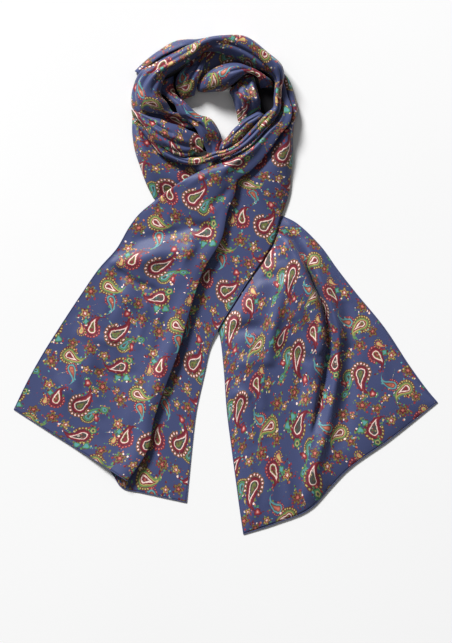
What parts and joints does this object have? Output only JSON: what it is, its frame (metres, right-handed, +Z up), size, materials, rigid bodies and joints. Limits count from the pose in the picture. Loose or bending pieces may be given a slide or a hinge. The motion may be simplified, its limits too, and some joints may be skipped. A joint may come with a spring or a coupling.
{
  "type": "silk scarf",
  "caption": "Long printed silk scarf laid flat, looped round a neck opening with its tails crossed and fanned out below, in a small paisley pattern.",
  "frame": {"origin": "middle of the scarf's box in plan, on the surface it lies on", "axes": "+Z up from the surface, +Y from the tails' hems to the loop, +X to the right in the picture"},
  "size_m": [0.533, 0.6292, 0.0379],
  "materials": {
    "printed_silk": "soft twill silk with a printed paisley",
    "printed_silk_hidden": "the same silk where its turns lie hidden in shade"
  },
  "bodies": {
    "root": {"left_tail": "printed_silk", "right_tail": "printed_silk", "main_loop": "printed_silk", "outer_fold": "printed_silk", "inner_left": "printed_silk", "front_fold": "printed_silk", "inner_front": "printed_silk", "inner_right": "printed_silk", "inner_top": "printed_silk", "inner_valley": "printed_silk", "twisted_fold": "printed_silk", "hidden_layers": "printed_silk_hidden"}
  },
  "joints": []
}
